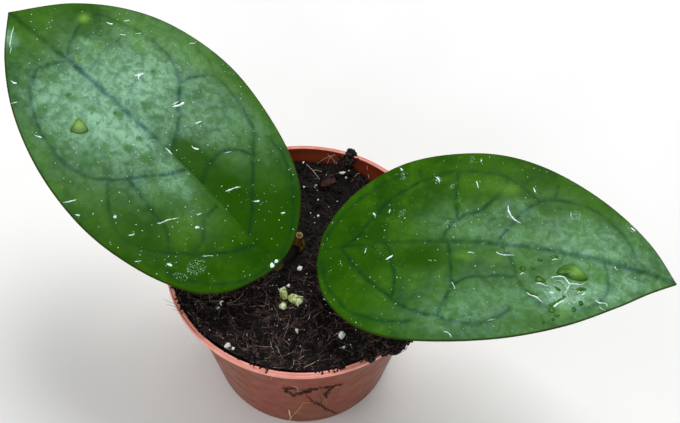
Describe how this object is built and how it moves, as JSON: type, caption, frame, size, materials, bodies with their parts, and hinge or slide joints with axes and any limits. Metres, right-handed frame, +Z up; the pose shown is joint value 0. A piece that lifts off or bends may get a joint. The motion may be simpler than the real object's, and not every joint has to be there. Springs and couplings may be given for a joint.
{
  "type": "potted hoya plant",
  "caption": "Young hoya houseplant with large oval, net-veined leaves, growing in a round tapered plastic nursery pot filled with potting soil.",
  "frame": {"origin": "centre of the pot's flat base, where it stands", "axes": "+Z up along the pot's axis, +X to the right and -Y to the front, as the picture shows the plant"},
  "size_m": [0.2131, 0.1073, 0.1121],
  "materials": {
    "pot_plastic": "smooth terracotta-coloured plastic, slightly glossy, with soil smudges",
    "soil": "rough damp potting mix of fibre, bark and crumbs",
    "stem": "dry woody stem",
    "leaf": "waxy, leathery green leaf with darker sunken veins",
    "shoot": "pale green young growth"
  },
  "bodies": {
    "root": {"pot": "pot_plastic", "soil": "soil", "left_stem": "stem", "right_stem": "stem", "left_leaf": "leaf", "right_leaf": "leaf", "young_shoots": "shoot"}
  },
  "joints": []
}
